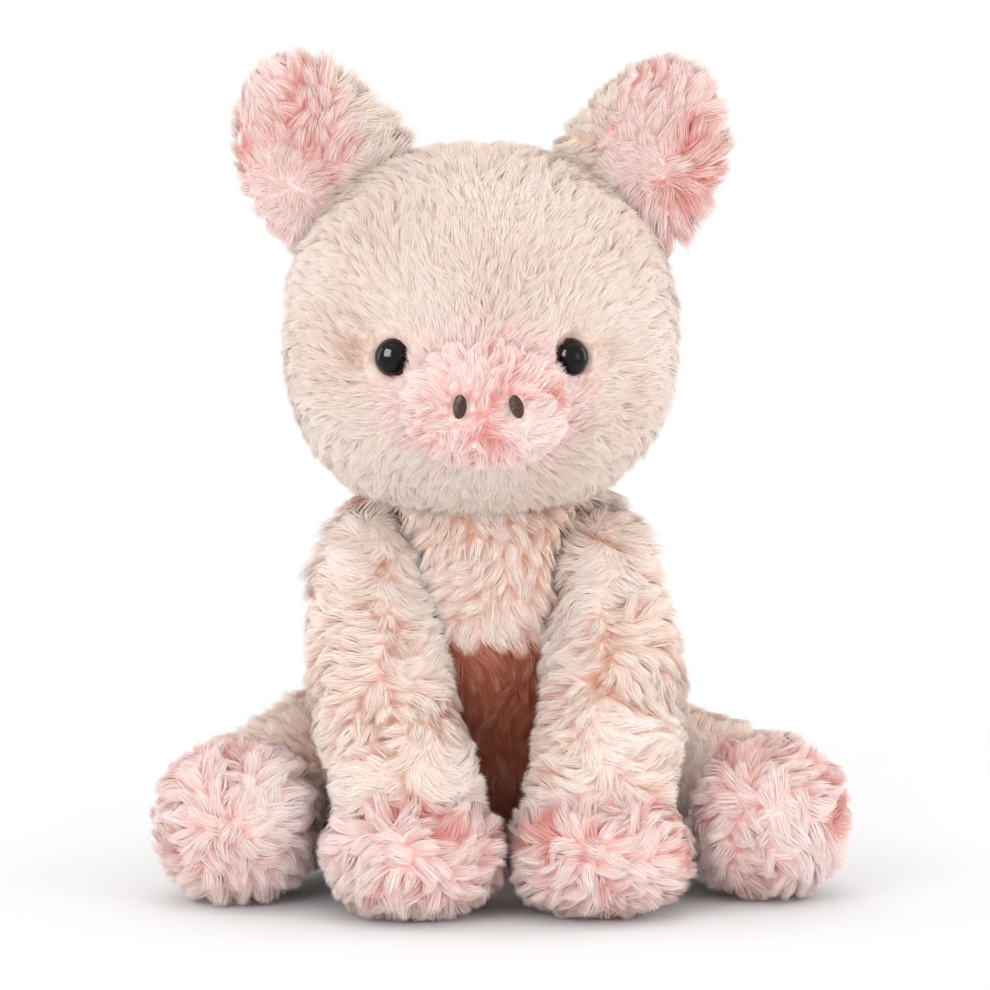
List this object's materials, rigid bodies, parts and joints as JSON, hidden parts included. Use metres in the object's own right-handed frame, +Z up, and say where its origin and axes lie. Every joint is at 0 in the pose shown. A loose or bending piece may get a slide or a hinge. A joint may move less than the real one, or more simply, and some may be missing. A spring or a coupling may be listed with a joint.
{
  "type": "plush dog toy",
  "caption": "Soft plush pig dog toy that sits up like a dog, with stuffed jointed legs, nodding head, floppy ears, curled tail and an inner squeaker.",
  "frame": {"origin": "middle of the toy's footprint, on the floor that it sits on", "axes": "+Z up, the pig faces -Y, and its own left side is +X"},
  "size_m": [0.2044, 0.1786, 0.2473],
  "materials": {
    "cream_plush": "clumped long pile faux fur",
    "pink_plush": "clumped long pile faux fur",
    "fibre_fill": "loose polyester fibre",
    "nostril_thread": "satin stitch",
    "eye_plastic": "polished",
    "washer_plastic": "matt moulded",
    "squeaker_plastic": "translucent soft plastic"
  },
  "bodies": {
    "body": {"body_cover": "cream_plush", "belly_fill": "fibre_fill", "back_fill": "fibre_fill", "squeaker_bulb": "squeaker_plastic", "squeaker_reed": "washer_plastic"},
    "head": {"head_cover": "cream_plush", "head_fill": "fibre_fill", "snout": "pink_plush", "nostril_left": "nostril_thread", "nostril_right": "nostril_thread", "eye_left": "eye_plastic", "eye_right": "eye_plastic", "eye_washer_left": "washer_plastic", "eye_washer_right": "washer_plastic"},
    "ear_left": {"ear_lining_left": "pink_plush", "ear_back_left": "cream_plush"},
    "ear_right": {"ear_lining_right": "pink_plush", "ear_back_right": "cream_plush"},
    "front_leg_left": {"front_leg_left": "cream_plush", "front_hoof_left": "pink_plush", "front_leg_fill_left": "fibre_fill"},
    "front_leg_right": {"front_leg_right": "cream_plush", "front_hoof_right": "pink_plush", "front_leg_fill_right": "fibre_fill"},
    "hind_leg_left": {"hind_leg_left": "cream_plush", "hind_hoof_left": "pink_plush", "hind_leg_fill_left": "fibre_fill"},
    "hind_leg_right": {"hind_leg_right": "cream_plush", "hind_hoof_right": "pink_plush", "hind_leg_fill_right": "fibre_fill"},
    "tail": {"tail": "pink_plush"}
  },
  "joints": [
    {"name": "head_nod", "type": "hinge", "parent": "body", "child": "head", "pos_m": [-0.004, -0.00768, 0.1], "axis": [1, 0, 0], "range_deg": [-12, 10], "stiffness_Nm_per_rad": 1.5},
    {"name": "ear_left_flop", "type": "hinge", "parent": "head", "child": "ear_left", "pos_m": [0.033, -0.00768, 0.205], "axis": [-0.7382, -0.2079, 0.6417], "range_deg": [-15, 15], "stiffness_Nm_per_rad": 0.05},
    {"name": "ear_right_flop", "type": "hinge", "parent": "head", "child": "ear_right", "pos_m": [-0.045, -0.00768, 0.205], "axis": [0.7382, -0.2079, 0.6417], "range_deg": [-15, 15], "stiffness_Nm_per_rad": 0.05},
    {"name": "front_leg_left_swing", "type": "hinge", "parent": "body", "child": "front_leg_left", "pos_m": [0.029, -0.01768, 0.096], "axis": [-1, 0, 0], "range_deg": [0, 40], "stiffness_Nm_per_rad": 0.2},
    {"name": "front_leg_right_swing", "type": "hinge", "parent": "body", "child": "front_leg_right", "pos_m": [-0.037, -0.01768, 0.096], "axis": [-1, 0, 0], "range_deg": [0, 40], "stiffness_Nm_per_rad": 0.2},
    {"name": "hind_leg_left_lift", "type": "hinge", "parent": "body", "child": "hind_leg_left", "pos_m": [0.033, 0.01832, 0.033], "axis": [-0.7986, -0.6018, 0], "range_deg": [0, 15], "stiffness_Nm_per_rad": 0.2},
    {"name": "hind_leg_right_lift", "type": "hinge", "parent": "body", "child": "hind_leg_right", "pos_m": [-0.041, 0.01832, 0.033], "axis": [-0.7986, 0.6018, 0], "range_deg": [0, 15], "stiffness_Nm_per_rad": 0.2},
    {"name": "tail_wag", "type": "hinge", "parent": "body", "child": "tail", "pos_m": [-0.004, 0.05931, 0.046], "axis": [0, 0, 1], "range_deg": [-20, 20], "stiffness_Nm_per_rad": 0.02}
  ]
}
